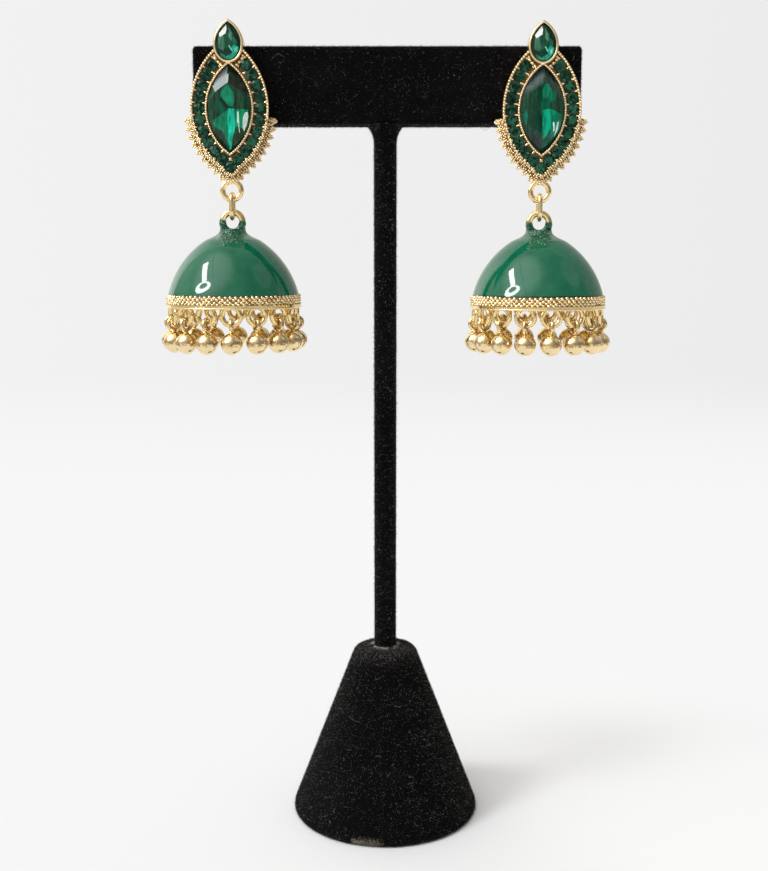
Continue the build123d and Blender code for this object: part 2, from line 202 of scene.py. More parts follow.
def new_piece(name, points, faces, material, body, replaces=()):
    """A mesh in millimetres as a piece that rides on a body; returns its mesh."""
    mesh = bpy.data.meshes.new(name)
    mesh.from_pydata((np.asarray(points) * MM).tolist(), [], faces)
    mesh.materials.append(material)
    made = placed(name, mesh)
    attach(made, body)
    if replaces:
        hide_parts(*replaces)
    return mesh


class Stock:
    """Vertices and faces of one piece in millimetres, with a number at each vertex: 1 in a gap, 0 outside."""

    def __init__(self):
        self.points, self.faces, self.gaps, self.count = [], [], [], 0

    def add(self, points, faces, gap=0.0):
        points = np.asarray(points, float).reshape(-1, 3)
        self.points.append(points)
        self.gaps.append(np.broadcast_to(np.asarray(gap, float), len(points)))
        faces = np.asarray(faces)
        self.faces.extend((faces + self.count).tolist())
        self.count += len(points)

    def piece(self, name, material, body, replaces=(), smooth=True):
        mesh = new_piece(name, np.concatenate(self.points), self.faces, material, body, replaces)
        mesh.attributes.new("gap", "FLOAT", "POINT").data.foreach_set("value", np.concatenate(self.gaps))
        if smooth:
            mesh.shade_smooth()


def scatter(node, number, rng):
    """Random points on a CAD piece and the outward normals there, in millimetres, as many on each mm2."""
    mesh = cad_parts[node].data
    mesh.calc_loop_triangles()
    co = np.zeros(len(mesh.vertices) * 3)
    mesh.vertices.foreach_get("co", co)
    tri = np.zeros(len(mesh.loop_triangles) * 3, int)
    mesh.loop_triangles.foreach_get("vertices", tri)
    corners = co.reshape(-1, 3)[tri.reshape(-1, 3)] / MM
    normal = np.cross(corners[:, 1] - corners[:, 0], corners[:, 2] - corners[:, 0])
    area = np.linalg.norm(normal, axis=1)
    normal /= np.maximum(area, 1e-12)[:, None]
    area = np.where((normal[:, 2] < -0.9) & (corners[:, :, 2].mean(1) < 1), 0, area)
    chosen = rng.choice(len(area), number, p=area / area.sum())
    u, v = rng.random(number), rng.random(number)
    flip = u + v > 1
    u, v = np.where(flip, 1 - u, u), np.where(flip, 1 - v, v)
    a, b, c = (corners[chosen, k] for k in range(3))
    return a + u[:, None] * (b - a) + v[:, None] * (c - a), normal[chosen]


PILE_LENGTH, PILE_WIDTH, PILE_LEAN = (0.22, 0.5), 0.05, 0.45
# Piece, number of fibres, share of them painted bright as glints
PILES = (("stand_base", 100000, 0.17), ("stand_rod", 35000, 0.27), ("stand_bar", 90000, 0.11))
PILE_ROOT, ABOVE_FLOOR, DUST_FROM_Z = 0.02, 0.02, 35.5
pile = Recipe("velvet pile")
fibre_tone = pile.stored()
pile_cloth = pile.surface(
    Base_Color=pile.blend(fibre_tone, (0.0028, 0.0028, 0.003), (0.66, 0.64, 0.61)),
    Roughness=0.8,
    Specular_IOR_Level=0.04,
)
rod_low, rod_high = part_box("stand_rod")
ROD_X, ROD_Y = (rod_low.x + rod_high.x) / 2 / MM, (rod_low.y + rod_high.y) / 2 / MM
for node, number, painted_glint_share in PILES:
    rng = np.random.default_rng(len(node) * 7 + number)
    root, normal = scatter(node, number, rng)
    lean = rng.normal(size=(number, 3)) * PILE_LEAN + normal
    lean /= np.linalg.norm(lean, axis=1)[:, None]
    across = np.cross(lean, rng.normal(size=(number, 3)))
    across *= PILE_WIDTH / 2 / np.linalg.norm(across, axis=1)[:, None]
    tip = root + lean * rng.uniform(*PILE_LENGTH, number)[:, None]
    # Some tips are painted bright as glints, and the rod's pile is painted a little lighter as painted light; dust
    # lies round the foot of the rod, and one spot is worn bald
    dull = 0.005 if node == "stand_rod" else 0.002
    tone = np.where(rng.random(number) < painted_glint_share, rng.uniform(0.04, 0.72, number), dull)
    round_rod = np.hypot(root[:, 0] - ROD_X, root[:, 1] - ROD_Y)
    bearing = np.arctan2(root[:, 1] - ROD_Y, root[:, 0] - ROD_X)
    close = 2.6 * np.exp(-(((round_rod - 3.0) / 0.5) ** 2)) + 0.12 * np.exp(-(((round_rod - 2.6) / 2.6) ** 2))
    dusty = close * (root[:, 2] > DUST_FROM_Z) * (0.55 + 0.3 * np.sin(3 * bearing + 0.4) + 0.3 * np.sin(7 * bearing))
    dusty = (rng.random(number) < dusty) & (node == "stand_base")
    tone = np.where(dusty, rng.uniform(0.3, 1.0, number) ** (round_rod / 3.0), tone)
    tip[:, 2] = np.maximum(tip[:, 2], ABOVE_FLOOR)
    bald = root[:, 2] < rng.uniform(0.4, 2.8, number)
    bald &= np.abs(root[:, 0] - WORN_X) < rng.uniform(2.4, 4.4, number)
    bald &= (root[:, 1] < WORN_Y) & (rng.random(number) < 0.7)
    root, tip, across, normal, tone = (values[~bald] for values in (root, tip, across, normal, tone))
    root = root - normal * PILE_ROOT
    fibres = Stock()
    faces = np.arange(len(root) * 3).reshape(-1, 3)
    fibres.add(np.stack([root - across, root + across, tip], 1), faces, np.repeat(tone, 3))
    fibres.piece(node.replace("stand", "velvet_pile"), pile_cloth, "stand", smooth=False)

# Lint: fine curved hairs and specks of dust caught in the pile, thickest on the base
LINT_WIDTH, LINT_LIFT, LINT_STEP = 0.05, 0.38, 0.22
SPECK_FACES = [(0, 1, 2), (0, 2, 3), (0, 3, 1), (1, 3, 2)]
rng = np.random.default_rng(12)
for node, hairs, specks in (("stand_base", 210, 150), ("stand_rod", 30, 24), ("stand_bar", 44, 60)):
    lint = Stock()
    root, normal = scatter(node, hairs + specks, rng)
    root = root + normal * LINT_LIFT
    for at, up in zip(root[:hairs], normal[:hairs]):
        heading = np.cross(up, rng.normal(size=3))
        heading /= np.linalg.norm(heading)
        bend, steps = rng.normal() * 0.22, int(rng.integers(3, 8 if rng.random() < 0.88 else 26))
        path = [at]
        for _ in range(steps):
            heading = heading + np.cross(up, heading) * (bend + rng.normal() * 0.25)
            heading /= np.linalg.norm(heading)
            path.append(path[-1] + heading * LINT_STEP)
        path = np.array(path)
        wide = np.cross(path[-1] - path[0], up)
        wide *= LINT_WIDTH * rng.uniform(0.5, 1.0) / 2 / max(np.linalg.norm(wide), 1e-6)
        count = len(path)
        strip = np.concatenate([path - wide, path + wide])
        faces = [(k, k + 1, count + k + 1, count + k) for k in range(count - 1)]
        strip[:, 2] = np.maximum(strip[:, 2], ABOVE_FLOOR)
        lint.add(strip, faces, rng.uniform(0.06, 0.42))
    for at, up in zip(root[hairs:], normal[hairs:]):
        star = at + rng.normal(size=(4, 3)) * rng.uniform(0.03, 0.08)
        star[:, 2] = np.maximum(star[:, 2], ABOVE_FLOOR)
        lint.add(star, SPECK_FACES, rng.uniform(0.2, 0.9))
    if node == "stand_base":
        for turn in rng.uniform(0, 2 * np.pi, 900):
            clump = np.sin(3 * turn + 0.4) + np.sin(7 * turn)
            if clump < rng.normal() * 0.6 - 0.2:
                continue
            reach = rng.uniform(2.5, 3.0 + 0.25 * clump)
            at = (ROD_X + reach * math.cos(turn), ROD_Y + reach * math.sin(turn), BASE_TOP_Z)
            star = np.array(at) + rng.normal(size=(4, 3)) * 0.08
            lint.add(star, SPECK_FACES, rng.uniform(0.4, 1.0))
    lint.piece(node.replace("stand", "lint"), pile_cloth, "stand", smooth=False)


# -------- studs
# Cast brass plated in pale gold: backplate, rim, stone bezels and beaded wing, soldered together.
# Granules and milgrain are soldered on in a paler gold. An antique wash stays dark in the gaps.
def plated(recipe, gap, bright, dark, rough, **more):
    """Gold plate between two bright colours, with a dark wash in it where gap nears 1.

    rough is the roughness of the gold, and what its tone and the wash add to it.
    """
    tone = recipe.noise(1.4, 4.0, 0.65)
    wash = (gap + (tone - 0.5) * 0.35).above(0.25, 0.85)
    return recipe.surface(
        Base_Color=recipe.blend(wash, recipe.blend(tone.above(0.35, 0.75), *bright), dark),
        Metallic=1.0 - wash * 0.6,
        Roughness=rough[0] + tone * rough[1] + wash * rough[2],
        **more,
    )


gold = Recipe("antique gold")
fine = gold.bump(gold.noise(7.0, 2.0, 0.6), 0.02, 0.5)
GOLD = ((0.93, 0.745, 0.44), (0.87, 0.66, 0.35))
gold_metal = plated(gold, gold.stored(), GOLD, (0.22, 0.105, 0.045), (0.17, 0.16, 0.4), Normal=fine)

grains = Recipe("pale gold granules")
PALE_GOLD = ((0.90, 0.745, 0.475), (0.86, 0.675, 0.385))
pale_gold = plated(grains, grains.stored(), PALE_GOLD, (0.45, 0.29, 0.16), (0.27, 0.14, 0.3))

# The frame's wash lies on the floor between halo and bezel and, more thinly, between the bezels
frames = Recipe("gold stud frame")
_, frame_y, frame_z = frames.xyz()
deep = (frame_y + 5.2).above(0.0, 0.25) * (-3.0 - frame_y).above(-0.2, 0.2) * (frame_z - 139.0).above(0.0, 0.3)
deep = (deep + (-5.95 - frame_y).above(0.0, 0.1) * 0.8) * (-0.2 - frames.facing(1)).above(0.0, 0.4)
FRAME_GOLD = ((0.93, 0.71, 0.38), (0.93, 0.71, 0.38))
frame_gold = plated(frames, deep, FRAME_GOLD, (0.42, 0.27, 0.15), (0.16, 0.12, 0.4))

unit_bead = bmesh.new()
bmesh.ops.create_icosphere(unit_bead, subdivisions=2, radius=1.0)
BEAD_POINTS = np.array([v.co for v in unit_bead.verts])
BEAD_FACES = np.array([[v.index for v in f.verts] for f in unit_bead.faces])
unit_bead.free()


def beads(stock, centres, radii, outward):
    """Adds round granules; outward is the direction, one or each its own, away from the metal below."""
    centres = np.asarray(centres, float)
    outward = np.broadcast_to(np.asarray(outward, float), centres.shape)
    radii = np.broadcast_to(np.asarray(radii, float), len(centres))
    points = centres[:, None] + radii[:, None, None] * BEAD_POINTS[None]
    lift = np.einsum("pk,ck->cp", BEAD_POINTS, outward)
    faces = BEAD_FACES[None] + np.arange(len(centres))[:, None, None] * len(BEAD_POINTS)
    stock.add(points.reshape(-1, 3), faces.reshape(-1, 3), np.clip(0.3 - lift.reshape(-1), 0, 1))


def grid_faces(rows, columns, closed=False):
    """Faces of a sheet of points that is closed round its columns, and round its rows if asked."""
    return [
        (i * columns + j, i * columns + k, (i + 1) % rows * columns + k, (i + 1) % rows * columns + j)
        for i in range(rows if closed else rows - 1)
        for j, k in ((j, (j + 1) % columns) for j in range(columns))
    ]


def tube(stock, path, radius, closed=True, segments=16):
    """Adds a round wire along points in space."""
    path = np.asarray(path, float)
    ahead, behind = np.roll(path, -1, 0), np.roll(path, 1, 0)
    if not closed:
        ahead[-1], behind[0] = path[-1], path[0]
    along = ahead - behind
    along /= np.linalg.norm(along, axis=1)[:, None]
    side = np.cross(along, (0.03, 1.0, 0.02))
    side /= np.linalg.norm(side, axis=1)[:, None]
    up = np.cross(side, along)
    turns = np.linspace(0, 2 * np.pi, segments, endpoint=False)
    radius = np.broadcast_to(np.asarray(radius, float), len(path))[:, None, None]
    cos, sin = np.cos(turns)[None, :, None], np.sin(turns)[None, :, None]
    rings = path[:, None] + radius * (side[:, None] * cos + up[:, None] * sin)
    stock.add(rings.reshape(-1, 3), grid_faces(len(path), segments, closed))


HALO_FOOT, HALO_BEND, HALO_SIDE, HALO_TOP = (0, 141.9), (3.11, 145.0), (6.31, 153.6), (1.19, 164.6)
WING_FOOT, WING_BEND, WING_SIDE = (2.3, 139.6), (5.55, 142.75), (9.6, 153.6)
WING_FRONT, RIM_FRONT, BEZEL_FRONT = 4.85, 6.25, 6.6
MARQUISE_Z, MARQUISE_HALF_W, MARQUISE_HALF_L = 153.55, 4.45, 8.75
PEAR_Z, PEAR_HALF_W, PEAR_TIP, PEAR_FOOT = 166.2, 2.5, 4.4, 3.1


FINE_STEP = 0.01


def spaced(line, pitch, closed=False):
    """Points evenly spaced along a dense line of (x, z) points, and the directions to its right."""
    line = np.asarray(line, float)
    if closed:
        line = np.concatenate([line, line[:1]])
    steps = np.concatenate([[0], np.cumsum(np.linalg.norm(np.diff(line, axis=0), axis=1))])
    number = max(2, int(round(steps[-1] / pitch)))
    places = np.linspace(0, steps[-1], number + (not closed), endpoint=not closed)

    def at(distance):
        return np.stack([np.interp(distance, steps, line[:, k]) for k in (0, 1)], 1)

    nudge = 0.05
    along = at(places + nudge) - at(places - nudge)
    along /= np.linalg.norm(along, axis=1)[:, None]
    return at(places), np.stack([along[:, 1], -along[:, 0]], 1)


def leaf_line(foot, bend, side, top=None, grow=0.0):
    """Dense (x, z) points up the +X side of a leaf outline, grown outward, and round its foot."""
    foot, bend, side = (np.array(p, float) for p in (foot, bend, side))
    straight = (bend - foot) / np.linalg.norm(bend - foot)
    outward = np.array((straight[1], -straight[0]))
    line = []
    if foot[0] == 0 and grow > 0:
        for t in np.linspace(-np.pi / 2, math.atan2(outward[1], outward[0]), 12):
            line.append(foot + grow * np.array((math.cos(t), math.sin(t))))
    line += [foot + (bend - foot) * t + outward * grow for t in np.linspace(0, 1, 20)]
    for end, rising in ((bend, -1), (top, 1)):
        if end is None:
            continue
        dx, dz = side[0] - end[0], abs(side[1] - end[1])
        arc_r = (dx**2 + dz**2) / (2 * dx)
        middle = np.array((side[0] - arc_r, side[1]))
        angles = np.linspace(0, math.asin(dz / arc_r), 60)
        arc = [middle + (arc_r + grow) * np.array((math.cos(a), rising * math.sin(a))) for a in angles]
        line += arc[::-1] if rising < 0 else arc
    return np.array(line)


def loop_of(right):
    """A closed outline from the half of it that lies on the +X side."""
    return np.array(right + [(-x, z) for x, z in right[-2:0:-1]])


def marquise_line(grow, steps=60):
    arc_r = (MARQUISE_HALF_L**2 + MARQUISE_HALF_W**2) / (2 * MARQUISE_HALF_W)
    reach = math.acos((arc_r - MARQUISE_HALF_W) / (arc_r + grow))
    right = [
        ((arc_r + grow) * math.cos(a) - arc_r + MARQUISE_HALF_W, MARQUISE_Z + (arc_r + grow) * math.sin(a))
        for a in np.linspace(-reach, reach, steps)
    ]
    return loop_of(right)


def pear_line(grow, steps=40):
    half_w, tip, foot = PEAR_HALF_W + grow, PEAR_TIP + grow, PEAR_FOOT + grow
    lower = [(half_w * math.cos(a), PEAR_Z + foot * math.sin(a)) for a in np.linspace(-np.pi / 2, 0, steps)]
    arc_r = (tip**2 + half_w**2) / (2 * half_w)
    upper = [
        (half_w - arc_r + arc_r * math.cos(a), PEAR_Z + arc_r * math.sin(a))
        for a in np.linspace(0, math.asin(tip / arc_r), steps)[1:]
    ]
    return loop_of(lower + upper)


def on_stud(stud, points, front):
    """(x, z) points of a stud as points in space, at a distance to the front."""
    points = np.asarray(points, float)
    y = np.broadcast_to(-np.asarray(front, float), len(points))
    return np.stack([stud[0] + points[:, 0], y, points[:, 1] - stud[1]], 1)


def both_sides(points):
    """The points and their mirror images, without doubling those on the middle line."""
    points = np.asarray(points, float)
    off = points[np.abs(points[:, 0]) > 0.05]
    return np.concatenate([points, off * (-1, 1)])


FRONT = np.array((0.0, -1.0, 0.0))
studs = {}
for side in ("left", "right"):
    low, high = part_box(f"marquise_stone_{side}")
    studs[side] = ((low.x + high.x) / 2 / MM, MARQUISE_Z - (low.z + high.z) / 2 / MM)
    dress(f"stud_frame_{side}", frame_gold)

# Granulation of the wing: rows that follow the halo, and a small triangle of granules at each point
# Rows: growth past the halo, shift in pitches, lift. Picot: back from the point, aside, radius
WING_ROWS = ((1.26, 0.0, 1.4), (1.62, 0.5, 1.38), (1.96, 0.0, 0.6), (2.32, 0.5, 0.3), (2.68, 0.0, 0.2))
WING_PITCH, WING_BEAD_R, WING_JITTER, WING_KEPT, FOOT_BEAD_R = 0.52, 0.225, 0.06, 0.9, 0.29
FOOT_BEADS = ((0.0, 138.95), (0.55, 139.05), (1.12, 139.3), (0.28, 139.5), (0.85, 139.65), (1.5, 139.7))
PICOT_BEADS = ((0.66, 0.0, 0.25), (0.36, 0.31, 0.27), (0.36, -0.31, 0.27), (0.02, 0.0, 0.28))
WING_TOP_Z, PICOT_PITCH, PICOTS = 151.9, 1.75, 9
for side, stud in studs.items():
    rng = random.Random(5)
    wing = Stock()
    for grow, shift, lift in WING_ROWS:
        line = leaf_line(HALO_FOOT, HALO_BEND, HALO_SIDE, grow=grow)
        points, _ = spaced(line[line[:, 1] < WING_TOP_Z], WING_PITCH / 2)
        points = both_sides(points[int(shift * 2) :: 2])
        kept = (p for p in points if rng.random() < WING_KEPT)
        points = np.array([p + (rng.gauss(0, WING_JITTER), rng.gauss(0, WING_JITTER)) for p in kept])
        radii = WING_BEAD_R * np.array([rng.uniform(0.88, 1.12) for _ in points])
        beads(wing, on_stud(stud, points, WING_FRONT + lift), radii, FRONT)
    tips, outward = spaced(leaf_line(WING_FOOT, WING_BEND, WING_SIDE), FINE_STEP)
    for number in range(PICOTS):
        at = min(int(number * PICOT_PITCH / FINE_STEP), len(tips) - 1)
        tip, out = tips[at], outward[at]
        across = np.array((-out[1], out[0]))
        for back, aside, radius in PICOT_BEADS:
            point = both_sides([tip - out * back + across * aside])
            size = radius * rng.uniform(0.94, 1.06)
            beads(wing, on_stud(stud, point, WING_FRONT + 0.02), size, FRONT)
    for bead in FOOT_BEADS:
        beads(wing, on_stud(stud, both_sides([bead]), WING_FRONT + 0.1), FOOT_BEAD_R, FRONT)
    wing.piece(f"wing_granules_{side}", pale_gold, "stand")

# Milgrain on the halo's rim and the marquise's bezel, a smooth rolled bezel on the pear
for side, stud in studs.items():
    edge = Stock()
    line = leaf_line(HALO_FOOT, HALO_BEND, HALO_SIDE, HALO_TOP, grow=1.49)
    points = both_sides(spaced(line[line[:, 1] > WING_TOP_Z], 0.62)[0])
    beads(edge, on_stud(stud, points, RIM_FRONT + 0.05), 0.29, FRONT)
    line = marquise_line(0.3)
    points, _ = spaced(line, 0.5, closed=True)
    tube(edge, on_stud(stud, spaced(line, 0.2, closed=True)[0], BEZEL_FRONT - 0.12), 0.17, segments=10)
    beads(edge, on_stud(stud, points, BEZEL_FRONT + 0.04), 0.235, FRONT)
    tube(edge, on_stud(stud, spaced(pear_line(0.25), 0.15, closed=True)[0], BEZEL_FRONT - 0.02), 0.23, segments=14)
    edge.piece(f"milgrain_{side}", pale_gold, "stand")

# Tear-shaped prongs between neighbouring stones of the halo, and granules beside the pear
ACCENT_PITCH, ACCENTS_A_SIDE = 2.3, 10
# Prongs: distance outside or inside the stones' line, length
PRONG_REACHES, PRONG_HALF_W, PEAR_GRANULE_FRONT = ((1.14, 0.46), (-1.1, 0.48)), 0.32, 5.9
PEAR_GRANULES = (
    (1.6, 162.25, 0.38), (2.15, 162.8, 0.38), (2.75, 163.5, 0.4), (2.9, 164.1, 0.32),
    (3.3, 163.75, 0.3), (1.95, 162.0, 0.24), (2.6, 162.9, 0.24),
)
for side, stud in studs.items():
    grips = Stock()
    line, outward = spaced(leaf_line(HALO_FOOT, HALO_BEND, HALO_SIDE, HALO_TOP), FINE_STEP)
    for number in range(ACCENTS_A_SIDE):
        at = int((number + 0.5) * ACCENT_PITCH / FINE_STEP)
        for reach, length in PRONG_REACHES:
            out = outward[at] * math.copysign(1.0, reach)
            root = line[at] + out * abs(reach)
            for mirror in (1, -1):
                turn = np.array((mirror, 1))
                span = BEAD_POINTS.copy()
                taper = 0.62 - 0.38 * span[:, :1]
                local = np.concatenate([span[:, :1] * length, span[:, 1:] * PRONG_HALF_W * taper], 1)
                toward, across = -out * turn, np.array((out[1], -out[0])) * turn
                flat = root * turn + local[:, :1] * toward + local[:, 1:2] * across
                faces = BEAD_FACES if mirror > 0 else BEAD_FACES[:, ::-1]
                grips.add(on_stud(stud, flat, RIM_FRONT + local[:, 2]), faces)
    for dx, z, radius in PEAR_GRANULES:
        beads(grips, on_stud(stud, both_sides([(dx, z)]), PEAR_GRANULE_FRONT), radius, FRONT)
    grips.piece(f"prongs_{side}", pale_gold, "stand")

# -------- stones
# Foil-backed glass cut to shape: a marquise and a pear in bezels, and a halo of small round ones.
# The pale, teal and near-black patches that the foil throws up through the facets are painted into the colour, as
# painted highlights and painted reflections, each marquise its own.
crystal = Recipe("foil-backed glass")
tone, glassy = crystal.stored("tone", "Color"), crystal.stored("tone", "Alpha")
# Painted refraction streaks, long along the stone, lighten and darken the painted reflections
streak_x, streak_y, streak_z = crystal.xyz()
lengthwise = crystal.node("ShaderNodeCombineXYZ", None, {0: streak_x * 1.9, 1: streak_y, 2: streak_z * 0.35})
painted_streaks = crystal.noise(0.0011, 3.0, 0.65, where=lengthwise)
depth = 1.0 + glassy * (painted_streaks.above(0.25, 0.8) * 1.1 - 0.55)
crystal_cut = crystal.surface(
    Base_Color=crystal.node("ShaderNodeVectorMath", {"operation": "SCALE"}, {0: tone, "Scale": depth}),
    Roughness=0.35,
    Specular_IOR_Level=0.0,
    Coat_Weight=glassy,
    Coat_Roughness=0.01,
    Coat_IOR=1.28,
)

# Plan polygons in millimetres from the stone's centre, with the painted colour of the foil's reflection seen in
# each; the palest are painted highlights
MARQUISE_SIDE = ((0, 3.0), (20, 3.63), (-20, 3.63), (55, 4.17), (-55, 4.17))
MARQUISE_CROWN = [(turn + a, reach) for turn in (0, 180) for a, reach in MARQUISE_SIDE]
LEFT_MARQUISE_PAINTED_REFLECTIONS = (
    (((-0.05, 8.9), (-0.5, 5.05), (-1.55, 4.2), (-3.6, 5.3), (-1.6, 8.6)), (0.012, 0.022, 0.014)),
    (((-0.2, 8.9), (-0.55, 5.05), (-2.65, 3.1), (-3.05, 5.0), (-1.6, 7.9)), (0.4, 0.455, 0.475)),
    (((0.0, 8.9), (0.0, 5.1), (2.8, 3.1), (4.2, 3.4), (2.5, 8.0)), (0.017, 0.028, 0.018)),
    (
        ((-0.33, 4.74), (-1.55, 3.1), (-1.58, 2.4), (0.12, 0.3), (0.8, 0.3), (1.2, 1.2), (1.1, 3.05)),
        (0.007, 0.215, 0.118),
    ),
    (((1.15, 3.0), (1.65, 2.6), (1.7, 0.1), (0.95, 0.05), (1.25, 1.2)), (0.014, 0.03, 0.018)),
    (((-1.62, 2.3), (-1.75, 1.2), (-0.25, -0.35), (0.2, -0.1), (0.1, 0.2)), (0.003, 0.035, 0.018)),
    (((-1.85, 1.6), (-2.35, 1.2), (-2.0, -1.4), (-0.5, -0.4)), (0.003, 0.085, 0.048)),
    (
        ((0.1, -0.15), (-3.36, -2.6), (-3.3, -3.1), (-2.68, -3.92), (-1.07, -5.64), (-0.1, -5.9)),
        (0.006, 0.215, 0.115),
    ),
    (((-1.07, -5.64), (-0.38, -7.93), (-0.1, -8.2), (0.0, -5.2)), (0.005, 0.16, 0.09)),
    (((-0.15, -0.05), (-0.27, -4.0), (-0.2, -8.2), (0.2, -7.93), (1.35, -3.6), (1.15, -0.15)), (0.006, 0.56, 0.37)),
    (((1.1, -0.3), (3.9, -0.2), (3.7, -3.2), (2.3, -5.6), (1.35, -3.4)), (0.004, 0.27, 0.125)),
    (((-2.7, -3.7), (-1.4, -4.5), (-0.6, -6.7), (-0.13, -8.3), (-1.9, -6.9), (-3.2, -4.7)), (0.022, 0.062, 0.036)),
    (((1.78, -3.5), (0.72, -5.4), (0.33, -7.4), (1.0, -7.1), (2.4, -5.9), (3.2, -4.4)), (0.02, 0.055, 0.022)),
    (((1.72, -0.7), (2.02, -0.7), (2.15, -2.9), (1.68, -2.9)), (0.55, 0.88, 0.8)),
    (((1.9, -2.9), (2.12, -2.9), (2.16, -4.8), (2.0, -4.8)), (0.45, 0.8, 0.66)),
    (
        ((2.95, -1.7), (3.35, -0.8), (3.85, -0.7), (3.9, -1.8), (3.5, -3.4), (3.0, -4.5), (2.75, -3.8)),
        (0.8, 0.98, 0.92),
    ),
)
# The right-hand stone leans a little, so its facets show other painted reflections of the foil
RIGHT_MARQUISE_PAINTED_REFLECTIONS = (
    (((0.3, 8.9), (0.45, 5.8), (4.5, 1.2), (4.4, 3.4), (2.6, 7.6)), (0.026, 0.05, 0.038)),
    (
        ((-0.1, 8.9), (0.4, 8.3), (0.45, 5.8), (-1.4, 4.6), (-3.6, 2.3), (-4.3, 3.2), (-2.0, 7.6)),
        (0.062, 0.098, 0.098),
    ),
    (((-1.3, 4.6), (0.4, 5.7), (0.2, 1.8), (-0.5, 0.2), (-1.0, 1.2)), (0.004, 0.055, 0.034)),
    (((0.3, 5.0), (1.1, 5.0), (1.6, 3.9), (0.9, 2.2), (0.0, 1.9), (-0.3, 3.4)), (0.005, 0.19, 0.1)),
    (((1.7, 3.9), (2.5, 3.3), (2.4, 1.7), (1.4, 1.5), (1.2, 2.3)), (0.006, 0.15, 0.085)),
    (((-0.2, 1.8), (0.9, 2.1), (1.5, 1.4), (1.2, 0.1), (-0.4, 0.0)), (0.003, 0.11, 0.062)),
    (((-1.2, -0.2), (-0.2, 0.0), (-0.2, -4.4), (-0.9, -5.0), (-1.5, -3.6)), (0.003, 0.055, 0.034)),
    (((-0.1, -0.1), (1.5, 0.1), (1.6, -3.6), (0.3, -6.5), (-0.1, -4.6)), (0.004, 0.37, 0.215)),
    (((1.5, 0.1), (4.0, -1.0), (3.6, -3.8), (1.6, -6.2), (1.5, -3.4)), (0.004, 0.24, 0.13)),
    (((-1.2, -4.4), (0.1, -6.4), (0.1, -8.6), (-1.4, -7.6), (-3.0, -5.6), (-2.4, -4.6)), (0.032, 0.056, 0.047)),
    (((0.1, -6.1), (1.4, -4.9), (1.5, -6.4), (0.2, -8.5)), (0.005, 0.11, 0.066)),
    (((-4.0, -1.0), (-3.5, 0.1), (-3.0, -1.6), (-3.3, -3.2)), (0.006, 0.175, 0.11)),
    (((2.0, -2.6), (2.35, -2.5), (2.5, -4.2), (2.2, -4.4)), (0.6, 0.92, 0.84)),
    (((2.9, -2.6), (3.3, -2.3), (3.2, -3.8), (2.5, -5.4)), (0.7, 0.95, 0.88)),
)
MARQUISE_GROUND = (0.015, 0.062, 0.036)
PEAR_SIDE = ((38, 1.6), (80, 1.45), (120, 1.55), (158, 1.7))
PEAR_CROWN = [(90 + sign * turn, reach) for turn, reach in PEAR_SIDE for sign in (1, -1)]
PEAR_PAINTED_REFLECTIONS = (
    (((-1.9, 1.4), (-0.9, 1.6), (-0.5, -0.6), (-0.9, -1.3), (-1.9, -0.8)), (0.05, 0.175, 0.11)),
    (((-0.4, 3.9), (-1.8, 2.0), (-1.6, 1.3), (-0.4, 2.0), (-0.2, 3.1)), (0.85, 0.92, 0.9)),
    (((0.2, 3.4), (1.0, 2.0), (0.8, 0.5), (0.2, 1.4)), (0.075, 0.26, 0.165)),
    (((1.05, 1.5), (1.8, 0.8), (1.9, -0.2), (1.2, 0.1)), (0.03, 0.165, 0.1)),
    (((-0.75, -1.1), (0.1, -0.8), (0.7, -1.3), (0.2, -2.0), (-0.75, -1.9)), (0.003, 0.05, 0.03)),
    (((0.7, -0.9), (1.3, -0.1), (2.15, -0.6), (2.0, -1.4), (1.5, -2.1), (0.9, -1.7)), (0.01, 0.5, 0.33)),
    (((0.9, -1.7), (1.5, -2.1), (0.8, -2.8), (-0.2, -2.95), (-0.4, -2.45)), (0.012, 0.4, 0.24)),
    (((-0.4, -2.45), (-0.2, -2.95), (-1.2, -2.6), (-1.7, -1.9), (-1.3, -1.8)), (0.03, 0.21, 0.125)),
    (((1.2, -0.8), (1.75, -0.7), (1.75, -1.35), (1.25, -1.8)), (0.24, 0.86, 0.7)),
    (((0.15, -0.35), (0.35, -0.3), (0.9, -1.2), (0.7, -1.4)), (0.22, 0.78, 0.62)),
)
PEAR_GROUND = (0.014, 0.085, 0.05)
# Its crown facets are painted near-black, a painted dark rim of shade round the stone
PEAR_SHADES = [PEAR_GROUND] + [(0.006, 0.035, 0.022)] * 8
GIRDLE, GIRDLE_T, MARQUISE_TABLE, PEAR_TABLE = 6.2, 0.3, 1.5, 1.05


def clipped(polygon, normal, offset):
    """The part of a convex polygon where normal . point <= offset."""
    kept = []
    for k in range(len(polygon)):
        a, b = np.array(polygon[k - 1], float), np.array(polygon[k], float)
        da, db = a @ normal - offset, b @ normal - offset
        if da * db < 0:
            kept.append(a + (b - a) * da / (da - db))
        if db <= 0:
            kept.append(b)
    return kept


def carved(regions, polygon, colour):
    """Cuts a convex patch out of convex regions of (corners, plane, colour) and gives it its own colour."""
    polygon = [np.array(p, float) for p in polygon]
    turning = sum(a[0] * b[1] - b[0] * a[1] for a, b in zip(polygon, polygon[1:] + polygon[:1]))
    result = []
    for corners, plane, ground in regions:
        inside = corners
        for a, b in zip(polygon, polygon[1:] + polygon[:1]):
            normal = np.array((b[1] - a[1], a[0] - b[0])) * (1 if turning > 0 else -1)
            outside = clipped(inside, -normal, -(normal @ a))
            if len(outside) > 2:
                result.append((outside, plane, ground))
            inside = clipped(inside, normal, normal @ a)
            if len(inside) < 3:
                break
        if len(inside) > 2:
            result.append((inside, plane, colour))
    return result


def polar(degrees, reach=1.0):
    turn = math.radians(degrees)
    return reach * np.array((math.cos(turn), math.sin(turn)))


